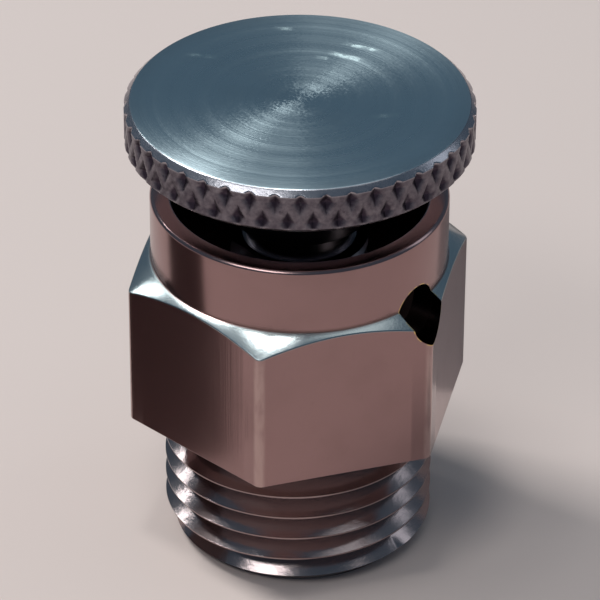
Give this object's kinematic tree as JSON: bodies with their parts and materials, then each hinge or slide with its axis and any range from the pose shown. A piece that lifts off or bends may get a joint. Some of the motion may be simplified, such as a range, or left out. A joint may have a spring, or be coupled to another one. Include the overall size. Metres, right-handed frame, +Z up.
{
  "type": "radiator bleed valve",
  "caption": "Manual radiator bleed valve: nickel-plated hexagon body on a male pipe thread, drip cup with a side vent, and a flat knurled thumb screw with a soft seat washer.",
  "frame": {"origin": "centre of the pipe thread's end face, on the valve's axis", "axes": "+Z up the valve's axis towards the knob, +X out through the corner of the hexagon that has the vent hole"},
  "size_m": [0.0126, 0.0122, 0.0177],
  "materials": {
    "nickel_plated_body": "bright nickel plate on turned hexagon brass bar",
    "nickel_plated_screw": "nickel plate on turned brass, faced top and knurled rim",
    "seat_rubber": "moulded black rubber"
  },
  "bodies": {
    "body": {"valve_body": "nickel_plated_body"},
    "washer": {"seat_washer": "seat_rubber"},
    "knob": {"thumb_screw": "nickel_plated_screw"}
  },
  "joints": [
    {"name": "washer_lift", "type": "slide", "parent": "body", "child": "washer", "axis": [0, 0, 1], "range_m": [0, 0.002]},
    {"name": "knob_turn", "type": "hinge", "parent": "washer", "child": "knob", "pos_m": [0, 0, 0.0168], "axis": [0, 0, 1], "range_deg": [0, 900]}
  ],
  "couplings": [
    {"joint": "knob_turn", "follows": "washer_lift", "rad_per_m": 7854}
  ]
}
